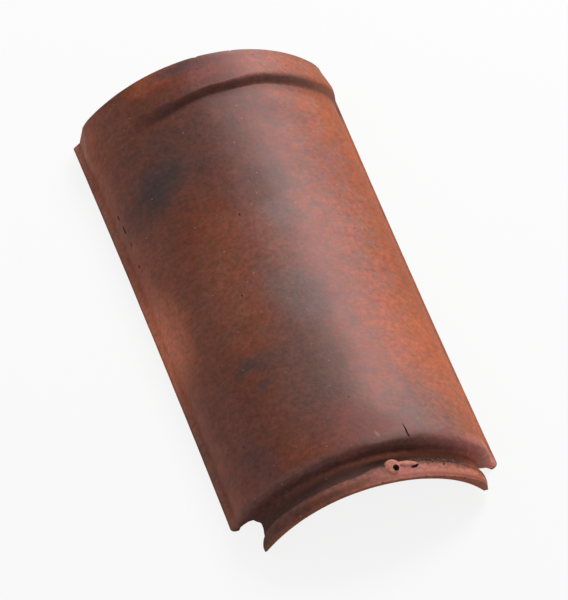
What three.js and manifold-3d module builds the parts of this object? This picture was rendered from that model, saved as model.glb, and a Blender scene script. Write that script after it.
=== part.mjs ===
// Interlocking half-round ridge tile, pressed from clay and fired in one piece.
// It lies as it does on the ridge: crown up, resting on its two long edges.
// Millimetres, +Z up, +Y toward the collar, origin on the ground under the middle of the tile.

import * as THREE from 'three';
import { mergeVertices } from 'three/addons/utils/BufferGeometryUtils.js';
import Module from 'manifold-3d';

const wasm = await Module();
wasm.setup();

// Driving dimensions
const collarEndY = 229;
const shoulderY = -202.5;      // where the body stops and the spigot goes on
const halfWidth = 111.2;        // over the lips of the two long edges
const waist = 1.2;             // each long edge draws in by this much at waistY
const waistY = 15;
const wall = 14;

// The body's arch: a wide crown arc between two small haunch arcs
const springHeight = 6;
const bodyArch = { halfSpan: 106, rise: 64.2, crownRadius: 146 };

// The collar stands proud of the body, and a slope that is longer at the sides leads down to it
const collarArch = { halfSpan: 106.8, rise: 70.8, crownRadius: 130 };
const collarSwell = 4;         // the haunches swell out toward the slope
const slopeMiddleY = { left: 189.8, crown: 192.6, right: 196.8 };
const slopeRun = { crown: 5, side: 19 };
const slopeFoot = 0.75;        // below 1, the slope is steeper at its foot than at its top
const socketLength = 40;       // inside, the collar is opened to take the next tile's spigot
const endEdgeRadius = 2;

// Long edges: a lip outside, a flat facet above it, and a flat foot under the wall
const lipHeight = 5.5;
const lipEdgeHeight = 1.4;
const footWidth = 6.5;
const facetAngleOnBody = THREE.MathUtils.degToRad(10);
const facetAngleOnCollar = THREE.MathUtils.degToRad(25);

// Shoulder, with its lower corners trimmed back as the spigot was cut
const shoulderRadius = 3.5;
const cornerTrim = { left: 6, right: 1 };
const footRelief = { left: 11, right: 4 };   // the underside lifts clear beside the spigot
const innerHaunchRadius = 28;

// Spigot: lines along its outer face, each with its place along the tile and its depth
// below the body's face, given at the left springing, the crown and the right springing
const spigotLines = [
  { name: 'root', y: [-190, -190, -190], depth: [8, 7, 8] },
  { name: 'fillet', y: [-200, -200, -200], depth: [12, 8.5, 10] },
  { name: 'foot of shoulder', y: [-204, -204, -204], depth: [16.8, 12.4, 13.4] },
  { name: 'end of groove', y: [-214.5, -211.5, -215], depth: [16.8, 12.4, 13.4] },
  { name: 'crest of rim', y: [-219.5, -215.5, -220], depth: [12.6, 10, 10.8] },
  { name: 'nose', y: [-227.8, -229, -224.5], depth: [12.6, 14.2, 11.8] },
];
const stepsPerLine = 4;
const spigotSpringHeight = 5.8;
const neckLift = { left: 6.5, right: 2 };      // the neck ends this much higher than the rim
const neckHaunchRadius = 30;
const neckInnerDepth = 19.2;
const mouthInnerDepth = 17.2;
const neckHalfSpan = 85;       // inside the spigot at the springing, under the groove
const mouthHalfSpan = 91.5;    // and at the nose, where the edge thins out

// Nail hole through a round pad that leans with the front of the rim, the hole less than the pad
const nailX = 19.8;
const nailY = -219.7;
const nailRadius = 2.5;
const nailLean = THREE.MathUtils.degToRad(6);
const padX = 17.6;
const padY = -218.4;
const padRadius = 6;
const padDepth = 10;
const padLean = THREE.MathUtils.degToRad(17.5);

const archSegments = 44;

const clay = new THREE.MeshStandardMaterial({ color: 0x95492f, roughness: 0.86, metalness: 0 });

const { clamp, lerp, smoothstep } = THREE.MathUtils;

// A point on a three-centred arch, moved inward by depth.
// turn is the direction its face looks: -90 degrees left, 0 up, 90 degrees right.
function archPoint(arch, turn, depth) {
  const { halfSpan, rise, crownRadius } = arch;
  const haunchRadius = (2 * rise * crownRadius - halfSpan ** 2 - rise ** 2)
    / (2 * (crownRadius - halfSpan));
  const haunchCentre = halfSpan - haunchRadius;
  const joint = Math.atan2(haunchCentre, crownRadius - rise);
  const onCrown = Math.abs(turn) <= joint;
  const radius = (onCrown ? crownRadius : haunchRadius) - depth;
  const centreX = onCrown ? 0 : Math.sign(turn) * haunchCentre;
  const centreZ = springHeight + (onCrown ? rise - crownRadius : 0);
  return new THREE.Vector2(centreX + radius * Math.sin(turn), centreZ + radius * Math.cos(turn));
}

// A point on the single arc inside the spigot; along runs from -1 at the left to 1 at the right
function spigotInnerPoint(along, halfSpan, springing, depth) {
  const crownHeight = springHeight + bodyArch.rise - depth;
  const rise = crownHeight - springing;
  const radius = (halfSpan ** 2 + rise ** 2) / (2 * rise);
  const turn = along * Math.asin(halfSpan / radius);
  return new THREE.Vector2(radius * Math.sin(turn), crownHeight - radius + radius * Math.cos(turn));
}

// Sets a point of a section in its place along the tile, with the waist
function atY(point, y) {
  const toEnd = Math.min(1, Math.abs(y - waistY) / (collarEndY - waistY));
  const drawnIn = 1 - (waist / halfWidth) * (1 - toEnd ** 2);
  return new THREE.Vector3(point.x * drawnIn, y, point.y);
}

// How far a rounded edge of the given radius has dropped at a distance from the end face
function edgeDrop(fromEnd, radius) {
  const x = clamp(1 - fromEnd / radius, 0, 1);
  return radius * (1 - Math.sqrt(1 - x * x));
}

// Place along the tile of a line across the slope, from 0 at its foot to 1 at the collar
function slopeY(share, turn) {
  const side = Math.abs(Math.sin(turn));
  const sideY = turn < 0 ? slopeMiddleY.left : slopeMiddleY.right;
  const middle = lerp(slopeMiddleY.crown, sideY, smoothstep(side, 0, 0.35));
  return middle + (share - 0.5) * lerp(slopeRun.crown, slopeRun.side, smoothstep(side, 0, 0.9));
}

// Outer face at a station and direction, between the body and the collar by the given share
function outerPoint(y, turn, drop, collarShare) {
  const side = Math.abs(Math.sin(turn));
  const swell = collarSwell * side ** 3 * smoothstep(collarEndY - y, 0, 24);
  const onCollar = archPoint(collarArch, turn, drop - swell);
  return archPoint(bodyArch, turn, drop).lerp(onCollar, collarShare);
}

// How far a point near the shoulder is trimmed back, most at the lower corners
function trim(point, y) {
  const most = point.x < 0 ? cornerTrim.left : cornerTrim.right;
  return most * (1 - smoothstep(point.y, 2, 24)) * (1 - smoothstep(y, shoulderY, shoulderY + 50));
}

// A section at one place along the tile, or along one line across the slope
function bodySection({ at, slopeShare }) {
  const outer = [];
  const inner = [];
  const onSlope = slopeShare !== undefined;
  const yAt = (turn) => (onSlope ? slopeY(slopeShare, turn) : at);
  const drop = edgeDrop(collarEndY - yAt(0), endEdgeRadius) + edgeDrop(yAt(0) - shoulderY, shoulderRadius);
  const collarShare = onSlope ? smoothstep(slopeShare ** slopeFoot, 0, 1) : Number(at > slopeMiddleY.crown);
  const edgeY = yAt(Math.PI / 2);
  const lifted = 1 - smoothstep(edgeY, shoulderY + 1, shoulderY + 9);
  for (let i = 0; i <= archSegments; i++) {
    const along = lerp(-1, 1, i / archSegments);
    const turn = along * Math.PI / 2;
    const y = yAt(turn);
    const facetShare = smoothstep(y, collarEndY - 48, collarEndY - 6);
    const facetAngle = lerp(facetAngleOnBody, facetAngleOnCollar, facetShare);
    const onOuter = outerPoint(y, along * (Math.PI / 2 - facetAngle), drop, collarShare);
    outer.push(atY(onOuter, y + trim(onOuter, y)));
    const socketShare = smoothstep(y, collarEndY - socketLength - 20, collarEndY - socketLength);
    const relief = lifted * (along < 0 ? footRelief.left : footRelief.right);
    const innerTurn = turn - along * Math.max(0, relief - 5) / innerHaunchRadius;
    const onInner = archPoint(bodyArch, innerTurn, wall);
    onInner.lerp(archPoint(collarArch, innerTurn, wall), socketShare);
    inner.push(atY(onInner, y + trim(onInner, y)));
  }
  const innerX = bodyArch.halfSpan - wall;
  const place = (x, z) => atY({ x, y: z }, edgeY + trim({ x, y: z }, edgeY));
  for (const [hand, most] of [[-1, footRelief.left], [1, footRelief.right]]) {
    const edges = [
      { lip: [bodyArch.halfSpan - drop, lipHeight], foot: [innerX + 0.3, 4], cut: [8.2, 1] },
      { lip: [halfWidth - drop, lipEdgeHeight], foot: [innerX + 0.8, 2.5], cut: [9.8, 0.65] },
      { lip: [halfWidth - drop, 0], foot: [innerX + 1.6, 1.2], cut: [11.3, 0.3] },
      { lip: [halfWidth - footWidth, 0], foot: [innerX + 3, 0], cut: [12.3, 0.02] },
    ];
    for (const { lip, foot, cut } of edges) {
      const grow = hand < 0 ? 'unshift' : 'push';
      const footX = lerp(foot[0], innerX + cut[0], lifted);
      const footZ = lerp(foot[1], most * cut[1], lifted);
      outer[grow](place(hand * lip[0], lip[1]));
      inner[grow](place(hand * footX, footZ));
    }
  }
  return { outer, inner };
}

// A section of the spigot between two of its lines; share runs from 0 at the first to 1 at the next
function spigotSection(from, to, share) {
  const outer = [];
  const inner = [];
  const eased = smoothstep(share, 0, 1);
  for (let i = 0; i <= archSegments; i++) {
    const along = lerp(-1, 1, i / archSegments);
    const turn = along * Math.PI / 2;
    const side = 1 - Math.cos(turn);
    const across = ([left, crown, right]) => lerp(crown, along < 0 ? left : right, side);
    const y = lerp(across(from.y), across(to.y), share);
    const depth = lerp(across(from.depth), across(to.depth), eased);
    const lift = (along < 0 ? neckLift.left : neckLift.right) * (1 - smoothstep(-y, 208, 216));
    outer.push(atY(archPoint(bodyArch, turn - along * lift / neckHaunchRadius, depth), y));
    const emerge = smoothstep(-y, 190, -shoulderY);
    const mouth = smoothstep(-y, 212, 229);
    const arc = spigotInnerPoint(
      along,
      lerp(neckHalfSpan, mouthHalfSpan, mouth),
      spigotSpringHeight + lift,
      lerp(neckInnerDepth, mouthInnerDepth, mouth),
    );
    inner.push(atY(archPoint(bodyArch, turn, wall - 2).lerp(arc, emerge), y));
  }
  return { outer, inner };
}

// Skins a row of sections, each a closed ring of outer and inner points, and caps both ends
function loft(sections) {
  const side = sections[0].outer.length;
  const ringSize = 2 * side;
  const points = sections.flatMap(({ outer, inner }) => [...outer, ...inner.toReversed()]);
  const faces = [];
  const quad = (a, b, c, d) => faces.push(a, c, b, a, d, c);
  for (let s = 0; s < sections.length - 1; s++) {
    for (let i = 0; i < ringSize; i++) {
      const here = s * ringSize;
      const next = (i + 1) % ringSize;
      quad(here + i, here + next, here + ringSize + next, here + ringSize + i);
    }
  }
  const last = (sections.length - 1) * ringSize;
  for (let i = 0; i < side - 1; i++) {
    const facing = ringSize - 1 - i;
    quad(i, facing, facing - 1, i + 1);
    quad(last + i, last + i + 1, last + facing - 1, last + facing);
  }
  const geometry = new THREE.BufferGeometry().setFromPoints(points);
  geometry.setIndex(faces);
  return geometry;
}

function toManifold(geometry) {
  const bare = geometry.clone();
  bare.deleteAttribute('normal');
  bare.deleteAttribute('uv');
  const merged = mergeVertices(bare, 1e-4);
  const mesh = new wasm.Mesh({
    numProp: 3,
    vertProperties: new Float32Array(merged.attributes.position.array),
    triVerts: new Uint32Array(merged.index.array),
  });
  return new wasm.Manifold(mesh);
}

function toGeometry(solid) {
  const { vertProperties, triVerts } = solid.getMesh();
  const geometry = new THREE.BufferGeometry();
  geometry.setAttribute('position', new THREE.BufferAttribute(vertProperties, 3));
  geometry.setIndex(new THREE.BufferAttribute(triVerts, 1));
  return geometry.toNonIndexed();
}

// A round rod that leans toward the nose, between two depths below the body's face
function rodAt(x, y, lean, radiusTop, radiusBottom, fromDepth, toDepth) {
  const turn = Math.asin(x / bodyArch.crownRadius);
  const rod = new THREE.CylinderGeometry(radiusTop, radiusBottom, toDepth - fromDepth, 28);
  rod.translate(0, padDepth - (fromDepth + toDepth) / 2, 0);
  rod.rotateX(Math.PI / 2 + lean);
  rod.rotateY(turn);
  const face = archPoint(bodyArch, turn, padDepth);
  rod.translate(face.x, y, face.y);
  return toManifold(rod);
}

// Stations are close together where the outline bends and far apart along the plain body
const roundedEnd = [0, 0.13, 0.5, 1];
const slopeShares = [1, 0.93, 0.82, 0.66, 0.5, 0.34, 0.18, 0.07, 0];
const stationsAlong = (places) => places.map((at) => ({ at }));
const bodyStations = [
  ...stationsAlong(roundedEnd.map((share) => collarEndY - share * endEdgeRadius)),
  ...stationsAlong([7, 12, 17, 22].map((distance) => collarEndY - distance)),
  ...slopeShares.map((slopeShare) => ({ slopeShare })),
  ...stationsAlong([173, 150, 60, -20, -90, shoulderY + 50, shoulderY + 30]),
  ...stationsAlong([14, 9, 6].map((distance) => shoulderY + distance)),
  ...stationsAlong(roundedEnd.toReversed().map((share) => shoulderY + share * shoulderRadius)),
];

const spigotSections = [];
for (let i = 0; i < spigotLines.length - 1; i++) {
  for (let step = 0; step < stepsPerLine; step++) {
    spigotSections.push(spigotSection(spigotLines[i], spigotLines[i + 1], step / stepsPerLine));
  }
}
spigotSections.push(spigotSection(spigotLines.at(-2), spigotLines.at(-1), 1));

const body = toManifold(loft(bodyStations.map(bodySection)));
const spigot = toManifold(loft(spigotSections));
const pad = rodAt(padX, padY, padLean, padRadius, padRadius + 0.8, padDepth, neckInnerDepth - 3);
const nailHole = rodAt(nailX, nailY, nailLean, nailRadius, nailRadius, padDepth - 10, neckInnerDepth + 10);
const solid = body.add(spigot).add(pad).subtract(nailHole);

const ridgeTile = new THREE.Mesh(toGeometry(solid), clay);
ridgeTile.name = 'ridge_tile';

const tile = new THREE.Group();
tile.add(ridgeTile);

export default tile;
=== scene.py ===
import math
import random

import bmesh
import bpy
from mathutils import Euler, Matrix, Vector, noise


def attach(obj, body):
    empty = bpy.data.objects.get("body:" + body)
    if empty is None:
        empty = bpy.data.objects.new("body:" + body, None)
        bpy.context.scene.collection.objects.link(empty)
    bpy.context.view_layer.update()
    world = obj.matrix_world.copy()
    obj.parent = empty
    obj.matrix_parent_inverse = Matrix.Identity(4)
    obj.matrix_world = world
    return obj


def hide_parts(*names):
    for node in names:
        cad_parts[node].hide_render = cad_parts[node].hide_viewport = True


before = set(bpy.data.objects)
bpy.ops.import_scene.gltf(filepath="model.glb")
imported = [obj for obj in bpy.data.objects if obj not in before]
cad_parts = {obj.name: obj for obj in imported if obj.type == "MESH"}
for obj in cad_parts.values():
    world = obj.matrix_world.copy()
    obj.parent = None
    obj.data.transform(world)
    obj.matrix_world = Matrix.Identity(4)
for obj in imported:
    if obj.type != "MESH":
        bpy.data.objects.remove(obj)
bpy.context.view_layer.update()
mm = 0.001
print("frame loaded")


def smooth(x, low, high):
    t = min(1, max(0, (x - low) / (high - low)))
    return t * t * (3 - 2 * t)


def mix(a, b, t):
    return a + (b - a) * t


def level(stops, x):
    # the value at x on straight lines between the stops
    for (x0, value0), (x1, value1) in zip(stops, stops[1:]):
        if x < x1:
            return mix(value0, value1, max(0, (x - x0) / (x1 - x0)))
    return stops[-1][1]


def linear(hexColour, alpha=1):
    channels = [int(hexColour[i:i + 2], 16) / 255 for i in (1, 3, 5)]
    return tuple(c / 12.92 if c <= 0.04045 else ((c + 0.055) / 1.055) ** 2.4 for c in channels) + (alpha,)


def addNode(tree, kind, settings=None, links=None):
    # one node with its properties, and with each input either set or linked; a ramp takes its stops here too
    node = tree.nodes.new(kind)
    for name, value in (settings or {}).items():
        if name == "stops":
            elements = node.color_ramp.elements
            while len(elements) < len(value):
                elements.new(0.5)
            for element, (place, colour) in zip(elements, value):
                element.position = place
                element.color = colour if isinstance(colour, tuple) else (colour, colour, colour, 1)
        else:
            setattr(node, name, value)
    for socket, source in (links or {}).items():
        if isinstance(source, bpy.types.NodeSocket):
            tree.links.new(source, node.inputs[socket])
        else:
            node.inputs[socket].default_value = source
    return node


def addObject(name, data):
    made = bpy.data.objects.new(name, data)
    bpy.context.scene.collection.objects.link(made)
    return made


def emptied(owner):
    # the node tree of a material or a world, with nothing in it
    owner.use_nodes = True
    owner.node_tree.nodes.clear()
    return owner.node_tree


# Sizes of the tile in millimetres. An arch is half its span, its rise, and the radius of its crown
tile = {
    "collarEndY": 229,
    "shoulderY": -202.5,
    "halfWidth": 111.2,
    "waist": 1.2,
    "waistY": 15,
    "wall": 14,
    "springHeight": 6,
    "bodyArch": (106, 64.2, 146),
    "collarArch": (106.8, 70.8, 130),
    "collarSwell": 4,
    "swellFade": 24,           # the swell dies out over this length before the collar's end
    # middle and length of the slope up to the collar, at the crown and at the sides; each at a side comes with
    # where across it starts to change and stops
    "slopeMiddleCrown": 192.6,
    "slopeMiddleLeft": (188, 0, 0.35),
    "slopeMiddleRight": (197.8, 0.05, 0.42),
    "slopeRunCrown": 5,
    "slopeRunSide": (19, 0, 0.9),
    "slopeFoot": 0.75,         # below 1, the slope is steeper at its foot than at its top
    "socketLength": 40,
    "socketTaper": 20,
    "endEdgeRadius": 2,
    # the shoulder's edge is rubbed rounder in places: radius by x
    "shoulderRadii": ((-60, 3.5), (-30, 6), (-16, 7), (-4, 6), (9, 3.5), (22, 5), (45, 8), (70, 7.5), (95, 6)),
    "facetAngleOnBody": math.radians(10),
    "facetAngleOnCollar": math.radians(25),
    "facetTurns": (-48, -6),   # from the collar's end, where the facet turns from one angle to the other
    # corners of a long edge from the top of the lip round to the foot: how far in from the full width, and height
    "lipCorners": ((5.2, 5.5), (0.7, 1.7), (0, 0.9), (0, 0.3), (0.4, 0)),
    "footWidth": 6.5,
    # corners of the foot's inner side from the arch down: how far out from the inner wall, and height; then both
    # beside the spigot, where the height is a share of the relief
    "footCorners": ((0.3, 4, 8.2, 1), (0.8, 2.5, 9.8, 0.65), (1.2, 1.8, 10.6, 0.47), (1.6, 1.2, 11.3, 0.3),
                    (1.9, 0.8, 11.8, 0.16), (3, 0, 12.3, 0.02)),
    "edgeSteps": (5, 4, 1, 1, 1, 3),
    # the corners beside the spigot are trimmed back, and the underside is lifted clear there
    "trimLeft": 6,
    "trimRight": 1,
    "trimHeights": (2, 24),
    "trimLength": 50,
    "reliefLeft": 11,
    "reliefRight": 4,
    "reliefEnds": (1, 9),      # from the shoulder
    "reliefInFoot": 5,         # past this the inner arch is cut shorter as well
    "innerHaunchRadius": 28,
    # sections: steps across the arch, then from, to and spacing of the rings along the collar and the body
    "columns": 132,
    "collarRings": (227, 210, 1.6),
    "slopeRings": 22,
    "bodyRings": ((180, 150, 2), (150, -140, 4), (-140, -199, 1.8)),
    "shoulderRings": 3.5,
}


def archPoint(arch, turn, depth):
    # a point at a depth below a three-centred arch; turn is the way the face looks, 0 up and below 0 to the left
    halfSpan, rise, crownRadius = arch
    haunchRadius = (2 * rise * crownRadius - halfSpan ** 2 - rise ** 2) / (2 * (crownRadius - halfSpan))
    haunchCentre = halfSpan - haunchRadius
    if abs(turn) <= math.atan2(haunchCentre, crownRadius - rise):
        centreX, centreZ, radius = 0, rise - crownRadius, crownRadius
    else:
        centreX, centreZ, radius = math.copysign(haunchCentre, turn), 0, haunchRadius
    x = centreX + (radius - depth) * math.sin(turn)
    z = tile["springHeight"] + centreZ + (radius - depth) * math.cos(turn)
    return x, z


def placed(x, y, z):
    # every point of the tile passes here, for the waist and the change to metres
    toEnd = min(1, abs(y - tile["waistY"]) / (tile["collarEndY"] - tile["waistY"]))
    drawnIn = 1 - tile["waist"] / tile["halfWidth"] * (1 - toEnd ** 2)
    return Vector((x * drawnIn, y, z)) * mm


def edgeDrop(fromEnd, radius):
    # how far an edge with this radius has fallen away
    x = min(1, max(0, 1 - fromEnd / radius))
    return radius * (1 - math.sqrt(1 - x * x))


def slopeY(share, turn):
    # where along the tile a share of the slope is reached
    side = abs(math.sin(turn))
    middle, near, far = tile["slopeMiddleLeft"] if turn < 0 else tile["slopeMiddleRight"]
    middle = mix(tile["slopeMiddleCrown"], middle, smooth(side, near, far))
    run, near, far = tile["slopeRunSide"]
    return middle + (share - 0.5) * mix(tile["slopeRunCrown"], run, smooth(side, near, far))


def trimmed(x, y, z):
    most = tile["trimLeft"] if x < 0 else tile["trimRight"]
    fromShoulder = y - tile["shoulderY"]
    back = most * (1 - smooth(z, *tile["trimHeights"])) * (1 - smooth(fromShoulder, 0, tile["trimLength"]))
    return placed(x, y + back, z)


def alongPath(corners, steps):
    # points from the first corner to the last, with a number of steps on each leg, less the first corner
    points = []
    for (x0, z0), (x1, z1), count in zip(corners, corners[1:], steps):
        points += [(mix(x0, x1, i / count), mix(z0, z1, i / count)) for i in range(1, count + 1)]
    return points


def bodySection(y=None, slopeShare=None):
    # one ring round the wall: the outer side from the left foot to the right one, and back along the inner side
    t = tile
    yAt = (lambda turn: slopeY(slopeShare, turn)) if y is None else (lambda turn: y)
    fromShoulder = yAt(0) - t["shoulderY"]
    endDrop = edgeDrop(t["collarEndY"] - yAt(0), t["endEdgeRadius"])
    collarShare = smooth(slopeShare ** t["slopeFoot"], 0, 1) if y is None else float(y > t["slopeMiddleCrown"])
    edgeY = yAt(math.pi / 2)
    lifted = 1 - smooth(edgeY - t["shoulderY"], *t["reliefEnds"])
    outer, inner, archEnds = [], [], {}
    for i in range(t["columns"] + 1):
        along = mix(-1, 1, i / t["columns"])
        turn = along * math.pi / 2
        here = yAt(turn)
        fromEnd = t["collarEndY"] - here
        facet = mix(t["facetAngleOnBody"], t["facetAngleOnCollar"], smooth(-fromEnd, *t["facetTurns"]))
        outerTurn = along * (math.pi / 2 - facet)
        swell = t["collarSwell"] * abs(math.sin(outerTurn)) ** 3 * smooth(fromEnd, 0, t["swellFade"])
        bodyX, _ = archPoint(t["bodyArch"], outerTurn, 0)
        drop = endDrop + edgeDrop(fromShoulder, level(t["shoulderRadii"], bodyX))
        bodyX, bodyZ = archPoint(t["bodyArch"], outerTurn, drop)
        collarX, collarZ = archPoint(t["collarArch"], outerTurn, drop - swell)
        x, z = mix(bodyX, collarX, collarShare), mix(bodyZ, collarZ, collarShare)
        outer.append(trimmed(x, here, z))
        relief = lifted * (t["reliefLeft"] if along < 0 else t["reliefRight"])
        innerTurn = turn - along * max(0, relief - t["reliefInFoot"]) / t["innerHaunchRadius"]
        socket = smooth(t["socketLength"] - fromEnd, -t["socketTaper"], 0)
        bodyX, bodyZ = archPoint(t["bodyArch"], innerTurn, t["wall"])
        collarX, collarZ = archPoint(t["collarArch"], innerTurn, t["wall"])
        innerX, innerZ = mix(bodyX, collarX, socket), mix(bodyZ, collarZ, socket)
        inner.append(trimmed(innerX, here, innerZ))
        if i in (0, t["columns"]):
            archEnds[math.copysign(1, along)] = ((abs(x), z), (abs(innerX), innerZ))
    wallX = t["bodyArch"][0] - t["wall"]
    for hand, relief in ((-1, t["reliefLeft"]), (1, t["reliefRight"])):
        drop = endDrop + edgeDrop(fromShoulder, level(t["shoulderRadii"], hand * t["halfWidth"]))
        lip = [(t["halfWidth"] - fromSide - drop, height) for fromSide, height in t["lipCorners"]]
        lip = alongPath([archEnds[hand][0]] + lip + [(t["halfWidth"] - t["footWidth"], 0)], t["edgeSteps"])
        foot = [(mix(wallX + plain, wallX + cut, lifted), mix(height, relief * share, lifted))
                for plain, height, cut, share in t["footCorners"]]
        foot = alongPath([archEnds[hand][1]] + foot, t["edgeSteps"])
        lip = [trimmed(hand * x, edgeY, z) for x, z in lip]
        foot = [trimmed(hand * x, edgeY, z) for x, z in foot]
        outer = lip[::-1] + outer if hand < 0 else outer + lip
        inner = foot[::-1] + inner if hand < 0 else inner + foot
    return outer, inner


# Lines along the spigot's outer side: y and depth below the body's face, each at the left, the crown and the right
spigot = {
    "lines": (
        ((-190, -190, -190), (8, 7, 8)),                  # inside the wall
        ((-200, -200, -200), (12, 8.5, 10)),              # fillet
        ((-204, -204, -204), (16.8, 12.4, 13.4)),         # foot of the shoulder
        ((-214.5, -211.5, -215), (16.8, 12.4, 13.4)),     # end of the groove
        ((-219.5, -215.5, -220), (12.6, 10, 10.8)),       # crest of the rim
        ((-227.8, -229, -224.5), (12.6, 14.2, 11.8)),     # nose
    ),
    "stepsPerLine": 8,
    "springHeight": 5.8,
    # left of the crown the crest of the rim lies further down, and the groove is wider: from these turns, between
    # these lengths from the middle of the tile
    "rimShiftLeft": 4.3,
    "rimShiftTurns": (-0.06, 0.12),
    "rimShiftStarts": (206, 212),
    "rimShiftEnds": (218, 228),
    # the neck ends this much higher than the rim
    "liftLeft": 6.5,
    "liftRight": 2,
    "liftEnds": (208, 216),
    "haunchRadius": 30,
    # inner side: it comes out of the wall, and widens towards the nose
    "emerges": (190, 202.5),
    "insideWall": 2,
    "widens": (212, 229),
    "neckDepth": 19.2,
    "mouthDepth": 17.2,
    "neckHalfSpan": 85,
    "mouthHalfSpan": 91.5,
}


def spigotSection(start, end, share):
    # one ring of the spigot, a share of the way from one of its lines to the next
    s = spigot
    outer, inner = [], []
    for i in range(tile["columns"] + 1):
        along = mix(-1, 1, i / tile["columns"])
        turn = along * math.pi / 2
        side = 1 - math.cos(turn)
        hand = 0 if along < 0 else 2
        y = mix(mix(start[0][1], start[0][hand], side), mix(end[0][1], end[0][hand], side), share)
        y -= (s["rimShiftLeft"] * smooth(-turn, *s["rimShiftTurns"]) * smooth(-y, *s["rimShiftStarts"])
              * (1 - smooth(-y, *s["rimShiftEnds"])))
        depth = mix(mix(start[1][1], start[1][hand], side), mix(end[1][1], end[1][hand], side), smooth(share, 0, 1))
        lift = (s["liftLeft"] if along < 0 else s["liftRight"]) * (1 - smooth(-y, *s["liftEnds"]))
        x, z = archPoint(tile["bodyArch"], turn - along * lift / s["haunchRadius"], depth)
        outer.append(placed(x, y, z))
        emerge = smooth(-y, *s["emerges"])
        mouth = smooth(-y, *s["widens"])
        crownHeight = tile["springHeight"] + tile["bodyArch"][1] - mix(s["neckDepth"], s["mouthDepth"], mouth)
        rise = crownHeight - s["springHeight"] - lift
        halfSpan = mix(s["neckHalfSpan"], s["mouthHalfSpan"], mouth)
        radius = (halfSpan ** 2 + rise ** 2) / (2 * rise)
        arcTurn = along * math.asin(halfSpan / radius)
        x, z = archPoint(tile["bodyArch"], turn, tile["wall"] - s["insideWall"])
        x = mix(x, radius * math.sin(arcTurn), emerge)
        z = mix(z, crownHeight - radius + radius * math.cos(arcTurn), emerge)
        inner.append(placed(x, y, z))
    return outer, inner


def stationMesh(name, sections, zoneOf):
    # the rings one after another as loose points, each closed on its first point; an end ring drawn to its
    # middle shuts the end
    def shut(section):
        middle = [(a + b) / 2 for a, b in zip(*section)]
        return middle, middle
    sections = [shut(sections[0])] + sections + [shut(sections[-1])]
    points, zones = [], []
    for row, (outer, inner) in enumerate(sections):
        points += outer + inner[::-1] + outer[:1]
        zones += [zoneOf(row, 0, p) for p in outer] + [zoneOf(row, 1, p) for p in inner[::-1]]
        zones.append(zoneOf(row, 0, outer[0]))
    mesh = bpy.data.meshes.new(name)
    mesh.from_pydata(points, [], [])
    layer = mesh.attributes.new("zone", "FLOAT_VECTOR", "POINT")
    layer.data.foreach_set("vector", [v for zone in zones for v in zone])
    return mesh, len(sections), len(outer) + len(inner) + 1


def evenly(start, end, step):
    count = max(1, round(abs(end - start) / step))
    return [mix(start, end, i / count) for i in range(count)]


roundSteps = [1 - math.cos(i * math.pi / 16) for i in range(8)]     # rings crowd towards an edge
bodyRings = [bodySection(y=tile["collarEndY"] - share * tile["endEdgeRadius"]) for share in roundSteps]
bodyRings += [bodySection(y=y) for y in evenly(*tile["collarRings"])]
slopeStart = len(bodyRings)
bodyRings += [bodySection(slopeShare=1 - i / tile["slopeRings"]) for i in range(tile["slopeRings"] + 1)]
bodyRings += [bodySection(y=y) for run in tile["bodyRings"] for y in evenly(*run)]
bodyRings += [bodySection(y=tile["shoulderY"] + share * tile["shoulderRings"]) for share in [1] + roundSteps[::-1]]
spigotRings = [spigotSection(a, b, i / spigot["stepsPerLine"])
               for a, b in zip(spigot["lines"], spigot["lines"][1:]) for i in range(spigot["stepsPerLine"])]
spigotRings.append(spigotSection(spigot["lines"][-2], spigot["lines"][-1], 1))


# A point's zone tells the clay's colours where it is: X is 1 on the inner side, Y is 1 round the cut end at the
# shoulder and brings in the shoulder's darker clay, with painted shade where the edge rounds away from the light, and
# Z runs from 0.2 to 1 along the spigot and below nothing at the foot of the slope, where it brings in painted shade.
# Each pair of numbers stands for the side where x is low and the side where it is high
zoning = {
    "shoulderSides": (10, 50),         # x between the two sides
    "shoulderFrom": (0.5, 3),          # from the cut end, in millimetres
    "shoulderTo": (12, 16),
    "shoulderFade": 0.8,
    "slopeSides": (-15, 10),
    "slopeUnder": -0.3,                # shares of the slope, from its foot up
    "slopeFrom": (0.1, 0.3),
    "slopeFadesFrom": (0.7, 0.5),
    "slopeFadesTo": (1.2, 0.9),
    "spigotFrom": 0.2,
}


def bodyZone(row, isInner, point):
    x, fromEnd = point.x / mm, point.y / mm - tile["shoulderY"]
    if row > len(bodyRings) - len(roundSteps) or (fromEnd < zoning["shoulderTo"][1] and not isInner):
        side = smooth(x, *zoning["shoulderSides"])
        far = smooth(fromEnd, mix(*zoning["shoulderFrom"], side), mix(*zoning["shoulderTo"], side))
        return 0, (1 - far) ** zoning["shoulderFade"], 0
    share = 1 - (row - 1 - slopeStart) / tile["slopeRings"]
    if not 0 <= share <= 1:
        return isInner, 0, 0
    # at the foot of the slope Z goes below nothing, which brings in painted shade there
    side = smooth(x, *zoning["slopeSides"])
    foot = smooth(share, zoning["slopeUnder"], mix(*zoning["slopeFrom"], side))
    fading = smooth(share, mix(*zoning["slopeFadesFrom"], side), mix(*zoning["slopeFadesTo"], side))
    return isInner, 0, -foot * (1 - fading)


def spigotZone(row, isInner, point):
    return isInner, 0, min(1, mix(zoning["spigotFrom"], 1, row / len(spigotRings)))


bodyStations, bodyRows, bodyRound = stationMesh("bodyStations", bodyRings, bodyZone)
spigotStations, spigotRows, spigotRound = stationMesh("spigotStations", spigotRings, spigotZone)
print("stations", bodyRows, "x", bodyRound, "and", spigotRows, "x", spigotRound)


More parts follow.
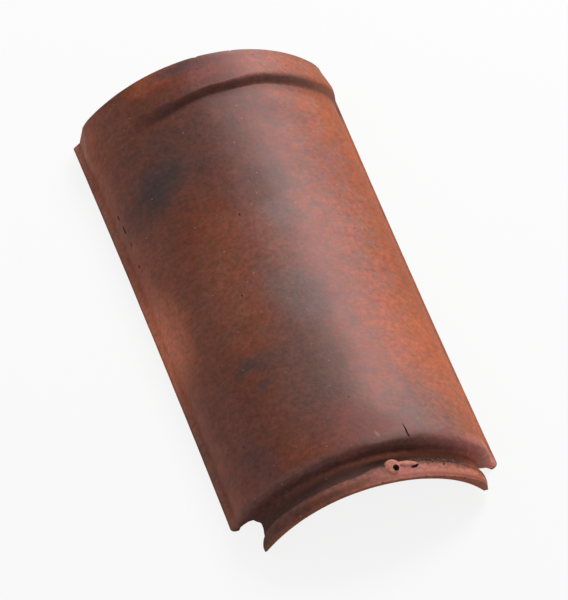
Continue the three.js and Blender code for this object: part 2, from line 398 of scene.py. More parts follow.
# What is added to the clay and cut out of it, in millimetres and degrees. Depths are below the body's face
details = {
    # a round pad that leans with the rim: its profile is the share of the radius and the height, from the bottom up
    "pad": {"x": 17.6, "y": -218.4, "depth": 10, "radius": 6, "lean": 17.5, "sides": 48,
            "profile": ((1.35, -6.2), (1.25, -2.6), (1.14, -1.5), (1.02, -0.7), (0.84, -0.1), (0.6, 0.2),
                        (0.3, 0.35))},
    # the nail hole, cut through the pad
    "nail": {"x": 19.8, "y": -219.7, "depth": 10, "radius": 2.5, "lean": 6, "sides": 32,
             "profile": ((1, -20), (1, 10))},
    # clay dragged from the pad along the rim
    "lobe": {"x": 31, "y": -216.8, "depth": 11, "long": 9.5, "wide": 3, "high": 2, "blunt": 0.04},
    # crumbs along the crest of the rim, which drifts towards the nose as x grows
    "crumbs": {"from": 34, "to": 82, "y": -215.4, "spread": 1.6, "drift": 0.03, "depths": (10.8, 12.2), "count": 54,
               "radius": 1.9, "seed": 5},
    # a drying crack that opens towards the shoulder: x, y and half its width, and the blade that cuts it
    "crack": {"path": ((35.5, -184.5, 0.1), (35.8, -187, 0.45), (36.1, -190.5, 0.8), (35.9, -194, 1.15),
                       (36.1, -197.5, 1.3), (36.3, -201.5, 1.4)), "deep": 1.3, "proud": 1,
              "topWidth": 1.1, "bottomWidth": 0.25},
    # a tear under the end of the lobe
    "tear": {"x": 37.5, "y": -219.4, "depth": 11.4, "halfSize": (4.4, 1.3, 1.1), "turn": 22, "uneven": 0.3},
    # pits: x, y, radius and how far each is drawn out along the tile. The depth is a share of the radius
    "pits": {"places": ((-53.5, 190, 1.1, 1), (-103.6, 128, 0.8, 3), (-103.2, 113, 0.9, 3.5), (-102.8, 96, 0.7, 4),
                        (-103.5, 73, 0.7, 2), (-20.5, 60.5, 0.9, 1), (-44, -17, 0.6, 1), (-4.5, 229.2, 2.2, 1),
                        (26, 229.2, 1.8, 1), (63, -219, 0.9, 1)),
             "depth": 0.1, "depthOnRim": 10.5, "uneven": 0.5},
    # nicks along the edge of the nose
    "nicks": {"from": -84, "to": 92, "count": 26, "radius": 1.3, "past": 0.5, "proud": 0.2, "seed": 4},
    "smallest": 0.4,           # of the crumbs and nicks, as a share of the largest
}


def turnAt(x, arch):
    # the turn at which the arch stands x from the middle
    low, high = -math.pi / 2, math.pi / 2
    for _ in range(30):
        middle = (low + high) / 2
        low, high = (middle, high) if archPoint(arch, middle, 0)[0] < x else (low, middle)
    return low


def onFace(x, y, depth):
    # the place on the tile's outer face, or below it, and which way the face looks
    arch = tile["collarArch"] if y > tile["slopeMiddleCrown"] else tile["bodyArch"]
    turn = turnAt(x, arch)
    faceX, faceZ = archPoint(arch, turn, depth)
    return placed(faceX, y, faceZ), turn


def closedMesh(name, rings):
    # a skin over rings of equal length, with a flat end at each end
    points = [p for ring in rings for p in ring]
    n, last = len(rings[0]), (len(rings) - 1) * len(rings[0])
    faces = [(start + i, start + (i + 1) % n, start + n + (i + 1) % n, start + n + i)
             for start in range(0, last, n) for i in range(n)]
    faces += [tuple(range(n))[::-1], tuple(range(last, last + n))]
    mesh = bpy.data.meshes.new(name)
    mesh.from_pydata(points, [], faces)
    return mesh


def circle(steps):
    return [i * math.tau / steps for i in range(steps)]


def turnedRod(name, part):
    # a round shape that stands on the face and leans towards the nose
    centre, turn = onFace(part["x"], part["y"], part["depth"])
    lean = math.radians(part["lean"])
    up = Vector((math.sin(turn) * math.cos(lean), -math.sin(lean), math.cos(turn) * math.cos(lean)))
    across = Vector((math.cos(turn), 0, -math.sin(turn)))
    along = up.cross(across)
    rings = [[centre + (up * height + (across * math.cos(a) + along * math.sin(a)) * share * part["radius"]) * mm
              for a in circle(part["sides"])] for share, height in part["profile"]]
    return closedMesh(name, rings)


def wedge(name, part):
    # a thin blade that follows a path over the face and narrows with depth
    rings = []
    for x, y, half in part["path"]:
        top, turn = onFace(x, y, -part["proud"])
        bottom, _ = onFace(x, y, part["deep"])
        side = Vector((math.cos(turn), 0, -math.sin(turn))) * half * mm
        wide, narrow = side * part["topWidth"], side * part["bottomWidth"]
        rings.append([top - wide, bottom - narrow, bottom + narrow, top + wide])
    return closedMesh(name, rings)


def ball(name, centre, radius, uneven=0.6, drawnOut=1):
    # a rough little ball, for a crumb of clay or the room that one has left
    work = bmesh.new()
    bmesh.ops.create_icosphere(work, subdivisions=2, radius=radius * mm)
    for vertex in work.verts:      # no two places get the same shape
        vertex.co *= 1 + uneven * noise.noise(vertex.co / mm + centre * 300)
        vertex.co.y *= drawnOut
        vertex.co += centre
    mesh = bpy.data.meshes.new(name)
    work.to_mesh(mesh)
    work.free()
    return mesh


def joined(name, meshes):
    # several closed shells in one object, with their faces turned outwards; each comes with its zone
    work = bmesh.new()
    zones = []
    for mesh, zone in meshes:
        work.from_mesh(mesh)
        zones += list(zone) * len(mesh.vertices)
        bpy.data.meshes.remove(mesh)
    bmesh.ops.recalc_face_normals(work, faces=work.faces)
    mesh = bpy.data.meshes.new(name)
    work.to_mesh(mesh)
    work.free()
    corners = [v for loop in mesh.loops for v in zones[3 * loop.vertex_index:3 * loop.vertex_index + 3]]
    mesh.attributes.new("zone", "FLOAT_VECTOR", "CORNER").data.foreach_set("vector", corners)
    return addObject(name, mesh)


def lobe(part, steps=8):
    # a rounded roll that lies across the tile
    rings = []
    for i in range(steps + 1):
        share = mix(-1, 1, i / steps)
        swell = mix(math.sqrt(max(0, 1 - share * share)), 1, part["blunt"])
        centre, turn = onFace(part["x"] + share * part["long"], part["y"] - share, part["depth"])
        up = Vector((math.sin(turn), 0, math.cos(turn)))
        rings.append([centre + (up * math.sin(a) * part["high"] + Vector((0, 1, 0)) * math.cos(a) * part["wide"])
                      * swell * mm for a in circle(12)])
    return closedMesh("lobe", rings)


# zones of what is added and cut: the cavity zone paints the shoulder's darker colour into the pits, the tear and the
# crack as painted shade, and the hole's zone paints a dark shadow inside the nail hole
rimZone, seamZone, noseZone, cavityShadeZone, holeShadeZone = (0, 0, 0.93), (0, 0, 0.75), (0, 0, 0.97), (0, 1, 0), (0, 2, 0)
added = []
crumbs = details["crumbs"]
dice = random.Random(crumbs["seed"])
for i in range(crumbs["count"]):
    x = dice.uniform(crumbs["from"], crumbs["to"])
    y = crumbs["y"] + dice.uniform(0, crumbs["spread"]) - crumbs["drift"] * (x - crumbs["from"])
    centre, _ = onFace(x, y, dice.uniform(*crumbs["depths"]))
    added.append((ball("crumb", centre, crumbs["radius"] * dice.uniform(details["smallest"], 1)), seamZone))
added += [(turnedRod("pad", details["pad"]), rimZone), (lobe(details["lobe"]), rimZone)]
addedClay = joined("addedClay", added)

cutOut = []
pits = details["pits"]
for x, y, radius, drawnOut in pits["places"]:
    depth = pits["depthOnRim"] if y < tile["shoulderY"] else pits["depth"] * radius
    cutOut.append((ball("pit", onFace(x, y, depth)[0], radius, pits["uneven"], drawnOut), cavityShadeZone))
nicks = details["nicks"]
dice = random.Random(nicks["seed"])
for i in range(nicks["count"]):
    x = dice.uniform(nicks["from"], nicks["to"])
    side, hand = 1 - math.cos(turnAt(x, tile["bodyArch"])), 0 if x < 0 else 2
    y, depth = [mix(line[1], line[hand], side) for line in spigot["lines"][-1]]
    centre, _ = onFace(x, y - nicks["past"], depth - nicks["proud"])
    cutOut.append((ball("nick", centre, nicks["radius"] * dice.uniform(details["smallest"], 1)), noseZone))
tear = details["tear"]
centre, lean = onFace(tear["x"], tear["y"], tear["depth"])
tearMesh = ball("tear", Vector(), 1, tear["uneven"])
tearMesh.transform(Matrix.LocRotScale(centre, Euler((0, lean, math.radians(tear["turn"]))), tear["halfSize"]))
cutOut += [(tearMesh, cavityShadeZone), (turnedRod("nailHole", details["nail"]), holeShadeZone),
           (wedge("crack", details["crack"]), cavityShadeZone)]
cuts = joined("cuts", cutOut)
print("pad and cuts made")


def geometryTree(name, inputs, output):
    # a tree with its sockets and nothing else: the name and kind of each input, and the name of what it gives
    tree = bpy.data.node_groups.new(name, "GeometryNodeTree")
    for socket, kind in inputs:
        tree.interface.new_socket(socket, in_out="INPUT", socket_type="NodeSocket" + kind)
    tree.interface.new_socket(output, in_out="OUTPUT", socket_type="NodeSocketGeometry")
    return tree


def skinTree():
    # a skin over the stations: a grid takes each point's place, then its seams close
    tree = geometryTree("skinOverStations", (("Stations", "Geometry"), ("Rows", "Int"), ("Round", "Int")), "Skin")
    given = addNode(tree, "NodeGroupInput").outputs
    grid = addNode(tree, "GeometryNodeMeshGrid", None, {"Vertices X": given["Rows"], "Vertices Y": given["Round"]})
    index = addNode(tree, "GeometryNodeInputIndex").outputs[0]
    position = addNode(tree, "GeometryNodeInputPosition").outputs[0]
    zone = addNode(tree, "GeometryNodeInputNamedAttribute", {"data_type": "FLOAT_VECTOR"}, {"Name": "zone"})
    samples = [addNode(tree, "GeometryNodeSampleIndex", {"data_type": "FLOAT_VECTOR"},
                       {"Geometry": given["Stations"], "Value": value, "Index": index}).outputs[0]
               for value in (position, zone.outputs[0])]
    moved = addNode(tree, "GeometryNodeSetPosition", None, {"Geometry": grid.outputs["Mesh"], "Position": samples[0]})
    kept = addNode(tree, "GeometryNodeStoreNamedAttribute", {"data_type": "FLOAT_VECTOR"},
                   {"Geometry": moved.outputs[0], "Name": "zone", "Value": samples[1]})
    merged = addNode(tree, "GeometryNodeMergeByDistance", None, {"Geometry": kept.outputs[0], "Distance": 0.01 * mm})
    # from here a corner of a face keeps the zone, so that it doesn't run over an edge that is cut later
    inCorners = addNode(tree, "GeometryNodeStoreNamedAttribute", {"data_type": "FLOAT_VECTOR", "domain": "CORNER"},
                        {"Geometry": merged.outputs[0], "Name": "zone", "Value": zone.outputs[0]})
    addNode(tree, "NodeGroupOutput", None, {"Skin": inCorners.outputs[0]})
    return tree


# The whole tile from its stations. Lengths in metres
clayBody = {
    "Body Rows": bodyRows,
    "Body Round": bodyRound,
    "Spigot Rows": spigotRows,
    "Spigot Round": spigotRound,
    "Wave Height": 0.3 * mm,       # slow waves left by the press
    "Wave Length": 42 * mm,
    "Lump Height": 0.22 * mm,      # small lumps of the coarse clay
    "Lump Length": 11 * mm,
    "Pits per Square Metre": 160,  # where grit has burst out
    "Pit Radius": 0.6 * mm,
    "Smallest Pit": 0.35,          # as a share of that
    "Pits Look Up": 0.1,           # none where the face looks less far up than this
    "Crisp Edge": math.radians(38),
    "Seed": 7,
}


def tileTree(skin):
    objects = ("Spigot Stations", "Added Clay", "Cuts")
    inputs = [("Body Stations", "Geometry")] + [(name, "Object") for name in objects]
    inputs += [(name, "Int" if isinstance(value, int) else "Float") for name, value in clayBody.items()]
    tree = geometryTree("pressedTile", inputs + [("Clay", "Material")], "Tile")
    given = addNode(tree, "NodeGroupInput").outputs
    spigotPoints, extra, cut = [
        addNode(tree, "GeometryNodeObjectInfo", None, {"Object": given[name]}).outputs["Geometry"]
        for name in objects]
    body = addNode(tree, "GeometryNodeGroup", {"node_tree": skin}, {
        "Stations": given["Body Stations"], "Rows": given["Body Rows"], "Round": given["Body Round"]}).outputs[0]
    neck = addNode(tree, "GeometryNodeGroup", {"node_tree": skin}, {
        "Stations": spigotPoints, "Rows": given["Spigot Rows"], "Round": given["Spigot Round"]}).outputs[0]
    whole = body
    for part in (neck, extra):
        both = addNode(tree, "GeometryNodeMeshBoolean", {"operation": "UNION", "solver": "MANIFOLD"})
        tree.links.new(part, both.inputs["Mesh 2"])
        tree.links.new(whole, both.inputs["Mesh 2"])
        whole = both.outputs["Mesh"]
    # pits of all sizes are scattered over what doesn't look down
    normal = addNode(tree, "GeometryNodeInputNormal").outputs["Normal"]
    height = addNode(tree, "ShaderNodeSeparateXYZ", None, {0: normal}).outputs["Z"]
    upper = addNode(tree, "FunctionNodeCompare", {"operation": "GREATER_THAN"}, {
        0: height, 1: given["Pits Look Up"]}).outputs[0]
    scatter = addNode(tree, "GeometryNodeDistributePointsOnFaces", None, {
        "Mesh": body, "Selection": upper, "Density": given["Pits per Square Metre"], "Seed": given["Seed"]})
    size = addNode(tree, "FunctionNodeRandomValue", None, {
        2: given["Smallest Pit"], 3: 1.0, "Seed": given["Seed"]}).outputs[1]
    pit = addNode(tree, "GeometryNodeMeshIcoSphere", None, {"Radius": given["Pit Radius"], "Subdivisions": 2})
    burst = addNode(tree, "GeometryNodeInstanceOnPoints", None, {
        "Points": scatter.outputs["Points"], "Instance": pit.outputs[0], "Scale": size}).outputs[0]
    burst = addNode(tree, "GeometryNodeRealizeInstances", None, {"Geometry": burst}).outputs[0]
    for tool in (cut, burst):
        less = addNode(tree, "GeometryNodeMeshBoolean", {"operation": "DIFFERENCE", "solver": "MANIFOLD"},
                       {"Mesh 1": whole, "Mesh 2": tool})
        whole = less.outputs["Mesh"]
    # waves and lumps only ever go inwards, so that the tile keeps to its outer size
    place = addNode(tree, "GeometryNodeInputPosition").outputs[0]
    sunk = None
    for name in ("Wave", "Lump"):
        scale = addNode(tree, "ShaderNodeMath", {"operation": "DIVIDE"}, {
            0: 1, 1: given[name + " Length"]}).outputs[0]
        waves = addNode(tree, "ShaderNodeTexNoise", None, {"Vector": place, "Scale": scale, "Detail": 1}).outputs[0]
        depth = addNode(tree, "ShaderNodeMath", {"operation": "MULTIPLY"},
                        {0: waves, 1: given[name + " Height"]}).outputs[0]
        sunk = depth if sunk is None else addNode(tree, "ShaderNodeMath", None, {0: sunk, 1: depth}).outputs[0]
    inwards = addNode(tree, "ShaderNodeMath", {"operation": "MULTIPLY"}, {0: sunk, 1: -1}).outputs[0]
    offset = addNode(tree, "ShaderNodeVectorMath", {"operation": "SCALE"}, {0: normal, "Scale": inwards}).outputs[0]
    moved = addNode(tree, "GeometryNodeSetPosition", None, {"Geometry": whole, "Offset": offset}).outputs[0]
    bend = addNode(tree, "GeometryNodeInputMeshEdgeAngle").outputs["Unsigned Angle"]
    crisp = addNode(tree, "FunctionNodeCompare", {"operation": "GREATER_THAN"},
                    {0: bend, 1: given["Crisp Edge"]}).outputs[0]
    soft = addNode(tree, "GeometryNodeSetShadeSmooth", None, {"Geometry": moved}).outputs[0]
    edged = addNode(tree, "GeometryNodeSetShadeSmooth", {"domain": "EDGE"},
                    {"Geometry": soft, "Selection": crisp, "Shade Smooth": False}).outputs[0]
    real = addNode(tree, "GeometryNodeRealizeInstances", None, {"Geometry": edged}).outputs[0]
    clad = addNode(tree, "GeometryNodeSetMaterial", None, {"Geometry": real, "Material": given["Clay"]})
    addNode(tree, "NodeGroupOutput", None, {"Tile": clad.outputs[0]})
    return tree


def pressTile(clay):
    # runs the tree and keeps its result as a plain mesh
    blank = addObject("tileBlank", bodyStations)
    neckPoints = addObject("neckPoints", spigotStations)
    tree = tileTree(skinTree())
    press = blank.modifiers.new("press", "NODES")
    press.node_group = tree
    values = dict(clayBody, **{"Spigot Stations": neckPoints, "Added Clay": addedClay, "Cuts": cuts, "Clay": clay})
    for item in tree.interface.items_tree:
        if item.in_out == "INPUT" and item.name in values:
            press[item.identifier] = values[item.name]
    bpy.context.view_layer.update()
    ready = blank.evaluated_get(bpy.context.evaluated_depsgraph_get())
    mesh = bpy.data.meshes.new_from_object(ready)
    mesh.name = "ridgeTile"
    for thing in (blank, neckPoints, addedClay, cuts):
        bpy.data.objects.remove(thing)
    return addObject("ridgeTile", mesh)


# Pressed red clay, flamed in the kiln and left unglazed: sandy and faintly satin, rusty brown on the left haunch,
# mauve-grey with ash along the crown, and salmon turning orange to the right, where the fire was clear.
# Lengths in millimetres; a colour that changes across the tile is given by x
clayLook = {
    "reach": 111,            # colours given by x run from this far left to as far right
    "flame": ((-111, "#ac6e5b"), (-103, "#974f36"), (-95, "#834734"), (-86, "#743e2d"), (-74, "#6a3420"),
              (-45, "#71300b"), (-29, "#6f2a05"), (-18, "#6b2d16"), (-4, "#7c4334"), (10, "#855449"),
              (26, "#9c6055"), (50, "#a46151"), (72, "#a2573e"), (90, "#9e502a"), (111, "#9f4a1e")),
    # how far the colours wander, and the noise they follow
    "drift": {"mm": 9, "spacing": 55, "detail": 4, "roughness": 0.6},
    # parts with colours of their own, some with painted shade in them, and over which zones each comes in
    "parts": {
        # the shoulder is darker clay, with painted shade where its edge rounds away from the light
        "shoulder": (((-95, "#673e37"), (-45, "#65403a"), (-5, "#683a31"), (9, "#5a342b"), (40, "#5e362d"),
                      (72, "#865048"), (92, "#ad655c"), (100, "#c07769")), (0.1, 0.2)),
        # between x of 30 and 75 the groove is darker: painted shade where the rounded shoulder lets light in
        "groove": (((-95, "#5f3f38"), (-50, "#7c4c43"), (-20, "#8b574a"), (25, "#9d6049"), (45, "#7a4331"),
                    (72, "#7e4531"), (95, "#a05436")), (0.5, 0.56)),
        # under the crest of the rim: darker clay with painted shade over it
        "seam": (((-95, "#5a3f38"), (-50, "#54352e"), (-10, "#523430"), (9, "#40271f"), (35, "#4e2b1c"),
                  (72, "#4a2c24"), (92, "#8a4c34")), (0.585, 0.655)),
        "rim": (((-95, "#6b4740"), (-66, "#6e453f"), (-50, "#79483c"), (-5, "#a76d5e"), (35, "#cf8678"),
                 (72, "#ce7f68"), (95, "#bf7056")), (0.835, 0.9)),
        # the edge and the nose are darker than the rim: the clay's colour, with painted shade where the nose rounds
        # away from the light
        "edge": (((-95, "#6b453d"), (-50, "#784638"), (-5, "#9c6252"), (35, "#a8695c"), (72, "#985a49"),
                  (95, "#8c4e3c")), (0.965, 0.99)),
        "nose": (((-95, "#5f3a33"), (-20, "#85503f"), (35, "#965a4e"), (75, "#985c4f")), (0.985, 0.997)),
    },
    "noseMost": 0.9,
    "raggedness": 0.05,      # of the lines between them
    # how much further down than its crest the rim begins, as shares of the spigot's length, so that the dark seam
    # with its painted shade covers the crest where it catches the light
    "rimStart": ((-14, 0.0), (-4, 0.01), (9, 0.03), (34, 0.025), (55, 0.03), (68, 0.035), (91, 0.055)),
    # painted shade at the foot of the slope up to the collar, and a painted lighter tone at its far left: its colour,
    # and how much of it there is
    "slope": ((-85, "#8a5443", 0.3), (-72, "#8a5443", 0.35), (-60, "#34282b", 0.15), (-45, "#34282b", 0.5),
              (-20, "#38272a", 0.1), (5, "#43241b", 0.45), (33, "#421d0e", 0.85), (61, "#42190a", 0.93),
              (83, "#43190a", 0.9), (99, "#54281a", 0.75)),
    # patches where it is salmon, drawn out across the tile
    "mauve": {"colour": "#86625f", "spacing": 9, "detail": 2, "roughness": 0.45, "drawnOut": (0.8, 1, 0.9),
              "edges": ((0.38, 0.0), (0.66, 1.0)),
              "reach": ((0.35, 0.1), (0.55, 0.25), (0.66, 0.6), (0.82, 0.5), (0.93, 0.1))},
    "underside": "#98583f",
    # painted shade and wear: where each starts, where it is full, and how much of it there is then. The painted shade
    # along the feet goes by the height above the ground, the painted shadow in the nail hole by Y of the zone, dust
    # by pointiness, which is 0.5 on the flat, and the spigot, which has no sheen, by Z of the zone
    "footShade": {"colour": "#3f2620", "from": 2.2 * mm, "full": 0.4 * mm, "most": 0.7},
    "holeShade": {"colour": "#1f1512", "from": 1, "full": 1.7, "most": 1},
    "dust": {"colour": "#b4836f", "from": 0.515, "full": 0.56, "most": 0.25},
    "dull": {"from": 0.3, "full": 0.55, "most": 0.35},
    # noise of three sizes; bump is the strength and the height of its relief. Real sand is finer, and the grain is
    # as coarse as it has to be to show
    "noises": {
        "clouds": {"spacing": 13, "detail": 4, "roughness": 0.62, "tone": 0.4, "tint": 0.35},
        "mottle": {"spacing": 3.8, "detail": 2, "roughness": 0.5, "tone": 0.95, "tint": 0.1, "bump": (0.22, 1.0)},
        "grain": {"spacing": 1.9, "detail": 2, "roughness": 0.6, "tone": 0.1, "tint": 0, "bump": (0.15, 0.25)},
    },
    # grains of lime and of iron: spacing, radius as a share of it, colour and the share of places left empty
    "grit": ((7, 0.12, "#d0a184", 0.84), (5.5, 0.075, "#43302c", 0.9)),
    "gritCore": 0.3,         # the share of its radius within which a grain is at its strongest
    "gritMost": 0.42,
    "roughness": (0.45, 0.72),
    "sheen": 0.3,
    "tints": {"smoke": "#3a3030", "umber": "#523332", "ash": "#625a5b", "dun": "#61443d", "rust": "#7a3e35",
              "salmon": "#eb8863", "orange": "#c7663b", "pink": "#9a7468"},
    "markHeights": (50, 400),    # middle and half size; they reach through the whole tile
    "markFull": 0.75,            # of the way in, a mark is at its strongest
    # where smoke darkened it and ash or a clear fire lightened it: tint, x, y, half sizes across and along,
    # turn in degrees and strength
    "marks": (
        ("smoke", -39, 143, 90, 109, -23, 0.40), ("smoke", -70, 123, 37, 25, 50, 0.74),
        ("umber", -95, 108, 13, 35, 12, 0.44), ("smoke", -61, -85, 13, 5, 36, 0.65),
        ("smoke", -48, -84, 27, 14, -19, 0.61), ("smoke", -55, -106, 12, 6, 3, 0.62),
        ("umber", -109, -142, 85, 110, -3, 0.39), ("dun", -18, -118, 48, 104, -7, 0.72),
        ("umber", 4, 85, 28, 38, -22, 0.51), ("ash", 0, -33, 37, 51, 25, 0.45),
        ("smoke", 28, 173, 67, 23, -26, 0.30), ("ash", 47, -190, 108, 50, 55, 0.39),
        ("umber", 36, 125, 110, 55, -45, 0.20), ("orange", -37, 224, 43, 13, 6, 0.30),
        ("umber", -11, 222, 58, 9, 0, 0.93), ("rust", 8, 206, 40, 27, 2, 0.93),
        ("salmon", -139, 25, 51, 110, 20, 0.93), ("orange", 86, -113, 48, 110, 14, 0.39),
        ("rust", 9, -190, 63, 41, -45, 0.93), ("pink", 13, -192, 2.5, 6, 25, 0.50),
        ("smoke", -52, 164, 20, 20, -2, 0.29), ("pink", -32, 0, 60, 109, -13, 0.14),
        ("umber", -81, -174, 18, 38, 14, 0.54), ("smoke", -40, 127, 26, 23, 2, 0.30),
        ("ash", 24, 93, 19, 40, 6, 0.32), ("smoke", -32, 158, 16, 24, 2, 0.28),
        ("ash", 12, 53, 25, 26, 2, 0.40), ("smoke", -51, 142, 17, 23, 1, 0.30),
        ("smoke", 8, 200, 24, 9, 0, 0.35), ("ash", 96, 216, 26, 18, 0, 0.16),
    ),
}


def pitch(spacing):
    # a texture's scale for a pattern with this spacing in millimetres
    return 1000 / spacing


def noiseOf(part):
    # the inputs of a noise texture
    return {"Scale": pitch(part["spacing"]), "Detail": part["detail"], "Roughness": part["roughness"]}


def acrossStops(values):
    # stops of a ramp across the tile, from colours or numbers; a third value is how much of the colour there is
    reach = clayLook["reach"]
    return [((x + reach) / (2 * reach), linear(*value) if isinstance(value[0], str) else value[0])
            for x, *value in values]


def painted(tree, colour, layers):
    # each layer's colour goes over the ones before, as much as its amount says
    for amount, tint in layers:
        colour = addNode(tree, "ShaderNodeMix", {"data_type": "RGBA"}, {0: amount, 6: colour, 7: tint}).outputs[2]
    return colour


def flamedClay():
    look = clayLook
    material = bpy.data.materials.new("flamedClay")
    tree = emptied(material)
    place = addNode(tree, "ShaderNodeTexCoord").outputs["Object"]
    zone = addNode(tree, "ShaderNodeAttribute", {"attribute_name": "zone"}).outputs["Vector"]
    zones = addNode(tree, "ShaderNodeSeparateXYZ", None, {0: zone}).outputs

    # the colours of the flame lie along the tile, and their edges wander
    wander = addNode(tree, "ShaderNodeTexNoise", None, dict(noiseOf(look["drift"]), Vector=place)).outputs["Color"]
    drift = look["drift"]["mm"] * mm
    strayed = addNode(tree, "ShaderNodeVectorMath", {"operation": "MULTIPLY_ADD"}, {
        0: wander, 1: (2 * drift,) * 3, 2: place}).outputs[0]
    strayed = addNode(tree, "ShaderNodeVectorMath", {"operation": "SUBTRACT"}, {
        0: strayed, 1: (drift,) * 3}).outputs[0]
    strayedX = addNode(tree, "ShaderNodeSeparateXYZ", None, {0: strayed}).outputs["X"]
    band = addNode(tree, "ShaderNodeMapRange", None, {
        "Value": strayedX, "From Min": -look["reach"] * mm, "From Max": look["reach"] * mm}).outputs[0]
    colour = addNode(tree, "ShaderNodeValToRGB", {"stops": acrossStops(look["flame"])}, {0: band}).outputs[0]

    # mauve patches where it is salmon
    mauve = look["mauve"]
    drawnOut = addNode(tree, "ShaderNodeVectorMath", {"operation": "MULTIPLY"}, {
        0: place, 1: mauve["drawnOut"]}).outputs[0]
    patches = addNode(tree, "ShaderNodeTexNoise", None, dict(noiseOf(mauve), Vector=drawnOut)).outputs["Fac"]
    patches = addNode(tree, "ShaderNodeValToRGB", {"stops": mauve["edges"]}, {0: patches}).outputs[0]
    salmon = addNode(tree, "ShaderNodeValToRGB", {"stops": mauve["reach"]}, {0: band}).outputs[0]
    amount = addNode(tree, "ShaderNodeMath", {"operation": "MULTIPLY"}, {0: patches, 1: salmon}).outputs[0]
    layers = [(amount, linear(mauve["colour"]))]

    # smoke, ash and blushes, as soft ellipses
    z, upAndDown = look["markHeights"]
    for tint, x, y, across, along, turn, strength in look["marks"]:
        spot = addNode(tree, "ShaderNodeMapping", {"vector_type": "TEXTURE"}, {
            "Vector": strayed, "Location": Vector((x, y, z)) * mm, "Rotation": (0, 0, math.radians(turn)),
            "Scale": Vector((across, along, upAndDown)) * mm}).outputs[0]
        fade = addNode(tree, "ShaderNodeTexGradient", {"gradient_type": "SPHERICAL"}, {0: spot}).outputs["Fac"]
        amount = addNode(tree, "ShaderNodeMapRange", {"interpolation_type": "SMOOTHSTEP"}, {
            "Value": fade, "From Max": look["markFull"], "To Max": strength}).outputs[0]
        layers.append((amount, linear(look["tints"][tint])))

    # noise for the ragged lines between the parts, and for tone, tint and relief
    noises = {name: addNode(tree, "ShaderNodeTexNoise", None, dict(noiseOf(part), Vector=place)).outputs
              for name, part in look["noises"].items()}
    mottle = noises["mottle"]["Fac"]

    # the shoulder, the groove, the rim of the spigot and its nose each have their own colours, with painted shade in
    # some of them
    alongSpigot = addNode(tree, "ShaderNodeMath", {"operation": "MULTIPLY_ADD"}, {
        0: mottle, 1: look["raggedness"], 2: zones["Z"]}).outputs[0]
    rimStart = addNode(tree, "ShaderNodeValToRGB", {"stops": acrossStops(look["rimStart"])}, {0: band}).outputs[0]
    fromRim = addNode(tree, "ShaderNodeMath", {"operation": "SUBTRACT"}, {0: alongSpigot, 1: rimStart}).outputs[0]
    places = {"rim": fromRim, "nose": zones["Z"]}
    for name, (colours, (start, end)) in look["parts"].items():
        own = addNode(tree, "ShaderNodeValToRGB", {"stops": acrossStops(colours)}, {0: band}).outputs[0]
        most = look["noseMost"] if name == "nose" else 1.0
        amount = addNode(tree, "ShaderNodeValToRGB", {"stops": ((start, 0.0), (end, most))}, {
            0: places.get(name, alongSpigot)}).outputs[0]
        if name == "shoulder":
            amount = addNode(tree, "ShaderNodeMath", {"operation": "MAXIMUM"}, {0: amount, 1: zones["Y"]}).outputs[0]
        layers.append((amount, own))
    layers.append((zones["X"], linear(look["underside"])))

    # painted shade along the foot of the slope and where the feet stand, and a painted shadow deep in the nail hole
    height = addNode(tree, "ShaderNodeSeparateXYZ", None, {0: place}).outputs["Z"]
    bulge = addNode(tree, "ShaderNodeNewGeometry").outputs["Pointiness"]
    wearAndShade = {name: addNode(tree, "ShaderNodeMapRange", None, {
        "Value": value, "From Min": look[name]["from"], "From Max": look[name]["full"],
        "To Max": look[name]["most"]}).outputs[0]
        for name, value in (("footShade", height), ("holeShade", zones["Y"]), ("dust", bulge), ("dull", alongSpigot))}
    slope = addNode(tree, "ShaderNodeValToRGB", {"stops": acrossStops(look["slope"])}, {0: band}).outputs
    slopeFootShade = addNode(tree, "ShaderNodeMapRange", None, {
        "Value": zones["Z"], "From Min": 0, "From Max": -1, "To Max": slope["Alpha"]}).outputs[0]
    layers.append((slopeFootShade, slope["Color"]))
    layers += [(wearAndShade[name], linear(look[name]["colour"])) for name in ("footShade", "holeShade")]
    colour = painted(tree, colour, layers)

    # clouding, mottling and grain over everything, in tone and in tint
    shades = [(noises[name][output], part[kind]) for name, part in look["noises"].items()
              for output, kind in (("Fac", "tone"), ("Color", "tint")) if part[kind]]
    for field, strength in shades:
        shade = addNode(tree, "ShaderNodeVectorMath", {"operation": "MULTIPLY_ADD"}, {
            0: field, 1: (strength,) * 3, 2: (1 - strength / 2,) * 3}).outputs[0]
        colour = addNode(tree, "ShaderNodeVectorMath", {"operation": "MULTIPLY"}, {0: colour, 1: shade}).outputs[0]

    # edges rubbed pale and dusty, and grit: pale grains of lime and a few dark ones of iron
    layers = [(wearAndShade["dust"], linear(look["dust"]["colour"]))]
    for spacing, radius, tint, empty in look["grit"]:
        cells = addNode(tree, "ShaderNodeTexVoronoi", None, {"Vector": place, "Scale": pitch(spacing)}).outputs
        dot = addNode(tree, "ShaderNodeMapRange", None, {
            "Value": cells["Distance"], "From Min": radius, "From Max": radius * look["gritCore"],
            "To Max": look["gritMost"]}).outputs[0]
        chosen = addNode(tree, "ShaderNodeSeparateXYZ", None, {0: cells["Color"]}).outputs["X"]
        chosen = addNode(tree, "ShaderNodeMath", {"operation": "GREATER_THAN"}, {0: chosen, 1: empty}).outputs[0]
        dot = addNode(tree, "ShaderNodeMath", {"operation": "MULTIPLY"}, {0: dot, 1: chosen}).outputs[0]
        layers.append((dot, linear(tint)))
    colour = painted(tree, colour, layers)

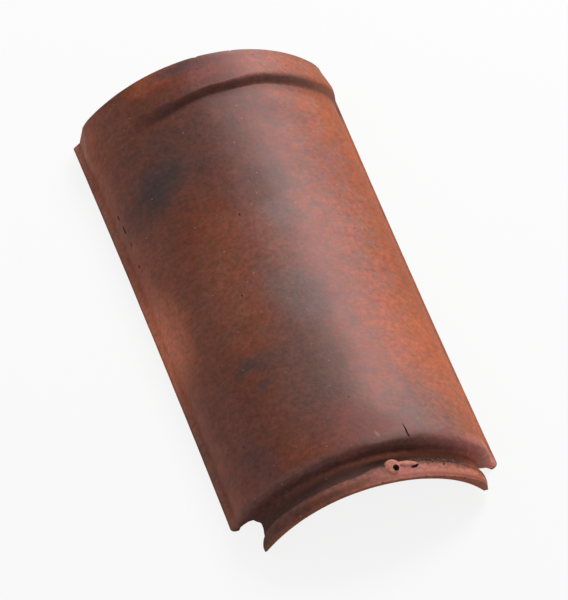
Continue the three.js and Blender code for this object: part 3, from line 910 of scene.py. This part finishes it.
    # relief: sandy grain over the small lumps of pressed clay
    relief = {}
    for name in ("grain", "mottle"):
        strength, height = look["noises"][name]["bump"]
        bump = addNode(tree, "ShaderNodeBump", None, dict(relief, Strength=strength, Distance=height * mm,
                                                          Height=noises[name]["Fac"]))
        relief = {"Normal": bump.outputs[0]}
    smoothest, roughest = look["roughness"]
    rough = addNode(tree, "ShaderNodeMapRange", None, {
        "Value": mottle, "To Min": smoothest, "To Max": roughest}).outputs[0]
    for more in (wearAndShade["dull"], wearAndShade["holeShade"]):
        rough = addNode(tree, "ShaderNodeMath", {"use_clamp": True}, {0: rough, 1: more}).outputs[0]
    shader = addNode(tree, "ShaderNodeBsdfPrincipled", None, {
        "Base Color": colour, "Roughness": rough, "Specular IOR Level": look["sheen"], **relief})
    addNode(tree, "ShaderNodeOutputMaterial", None, {"Surface": shader.outputs[0]})
    return material


ridgeTile = pressTile(flamedClay())
halfLength = tile["collarEndY"] * mm
for vertex in ridgeTile.data.vertices:      # nothing sinks into the ground or stands past the ends
    vertex.co.z = max(0, vertex.co.z)
    vertex.co.y = max(-halfLength, min(halfLength, vertex.co.y))
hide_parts("ridge_tile")
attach(ridgeTile, "root")
print("tile pressed:", len(ridgeTile.data.polygons), "faces")


# A pale floor that shows white to the camera and keeps a soft shadow
stage = {"halfSize": 6, "grey": 0.72, "whiteShare": 0.86}


def paleFloor():
    material = bpy.data.materials.new("paleFloor")
    tree = emptied(material)
    rays = addNode(tree, "ShaderNodeLightPath").outputs
    matt = addNode(tree, "ShaderNodeBsdfDiffuse", None, {"Color": (stage["grey"],) * 3 + (1,)}).outputs[0]
    white = addNode(tree, "ShaderNodeEmission", None, {"Color": (1, 1, 1, 1), "Strength": 1}).outputs[0]
    share = addNode(tree, "ShaderNodeMath", {"operation": "MULTIPLY"}, {
        0: rays["Is Camera Ray"], 1: stage["whiteShare"]}).outputs[0]
    both = addNode(tree, "ShaderNodeMixShader", None, {0: share, 1: matt, 2: white}).outputs[0]
    addNode(tree, "ShaderNodeOutputMaterial", None, {"Surface": both})
    return material


floorMesh = bpy.data.meshes.new("floor")
corners = [(x * stage["halfSize"], y * stage["halfSize"], 0) for x, y in ((-1, -1), (1, -1), (1, 1), (-1, 1))]
floorMesh.from_pydata(corners, [], [(0, 1, 2, 3)])
floorMesh.materials.append(paleFloor())
addObject("floor", floorMesh)

# Light: one large soft lamp from the right and behind, and an even pale surround
light = {"towards": (0.5, 0.55, 0.67), "distance": 2.2, "size": 1.0, "watts": 41, "surround": 0.45}
lampData = bpy.data.lights.new("softbox", "AREA")
lampData.shape = "DISK"
lampData.size = light["size"]
lampData.energy = light["watts"]
lamp = addObject("softbox", lampData)
lamp.location = Vector(light["towards"]).normalized() * light["distance"]
lamp.rotation_euler = Vector(light["towards"]).to_track_quat("Z", "Y").to_euler()

world = bpy.data.worlds.new("surround")     # white to the camera, a plain level of light to the rest
worldTree = emptied(world)
rays = addNode(worldTree, "ShaderNodeLightPath").outputs
seen = addNode(worldTree, "ShaderNodeMapRange", None, {
    "Value": rays["Is Camera Ray"], "To Min": light["surround"], "To Max": 1}).outputs[0]
shine = addNode(worldTree, "ShaderNodeBackground", None, {"Color": (1, 1, 1, 1), "Strength": seen})
addNode(worldTree, "ShaderNodeOutputWorld", None, {"Surface": shine.outputs[0]})
bpy.context.scene.world = world

# Camera, a long lens well above the tile
view = {"location": (-1.1733, -3.69145, 4.64245), "turn": (39.9724, 0.4752, -18.1617), "lens": 448.3}
cameraData = bpy.data.cameras.new("camera")
cameraData.lens = view["lens"]
camera = addObject("camera", cameraData)
camera.location = view["location"]
camera.rotation_euler = [math.radians(angle) for angle in view["turn"]]
bpy.context.scene.camera = camera
bpy.context.scene.view_settings.view_transform = "Standard"
print("stage, light and camera set")
